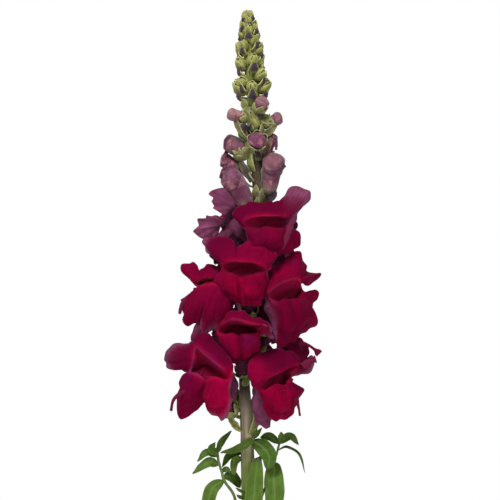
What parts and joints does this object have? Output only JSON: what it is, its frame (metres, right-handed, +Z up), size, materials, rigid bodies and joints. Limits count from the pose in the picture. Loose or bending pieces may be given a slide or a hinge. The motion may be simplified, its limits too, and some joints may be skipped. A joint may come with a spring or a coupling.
{
  "type": "snapdragon spike in vase",
  "caption": "Upright spike of dark red snapdragon flowers with green buds at the tip and leafy side shoots, standing in a plain pale bottle vase.",
  "frame": {"origin": "centre of the vase's flat underside, on the surface that it stands on", "axes": "+Z up along the vase's axis; the viewer of the picture is at -Y; +X to the viewer's right"},
  "size_m": [0.0906, 0.0754, 0.4946],
  "materials": {
    "ceramic": "gloss",
    "stem": "satin",
    "petal": "matte",
    "calyx": "matte",
    "bud": "matte",
    "tip": "matte",
    "leaf": "satin"
  },
  "bodies": {
    "root": {"raceme_tip": "tip", "bud_01": "bud", "bud_02": "bud", "bud_03": "bud", "bud_04": "bud", "bud_05": "bud", "bud_06": "bud", "bud_07": "bud", "bud_08": "bud", "bud_09": "bud", "bud_10": "bud", "bud_11": "bud", "bud_12": "bud", "floret_01": "petal", "floret_02": "petal", "floret_03": "petal", "floret_04": "petal", "floret_05": "petal", "floret_06": "petal", "floret_07": "petal", "floret_08": "petal", "floret_09": "petal", "floret_10": "petal", "floret_11": "petal", "floret_12": "petal", "floret_13": "petal", "floret_14": "petal", "calyx_01": "calyx", "calyx_02": "calyx", "calyx_03": "calyx", "calyx_04": "calyx", "calyx_05": "calyx", "calyx_06": "calyx", "calyx_07": "calyx", "calyx_08": "calyx", "calyx_09": "calyx", "calyx_10": "calyx", "calyx_11": "calyx", "calyx_12": "calyx", "calyx_13": "calyx", "calyx_14": "calyx", "stem": "stem", "shoot_left": "stem", "shoot_right": "stem", "leaf_01": "leaf", "leaf_02": "leaf", "leaf_03": "leaf", "leaf_04": "leaf", "leaf_05": "leaf", "leaf_06": "leaf", "leaf_07": "leaf", "leaf_08": "leaf", "leaf_09": "leaf", "leaf_10": "leaf", "leaf_11": "leaf", "leaf_12": "leaf", "leaf_13": "leaf", "leaf_14": "leaf", "leaf_15": "leaf", "vase": "ceramic"}
  },
  "joints": []
}
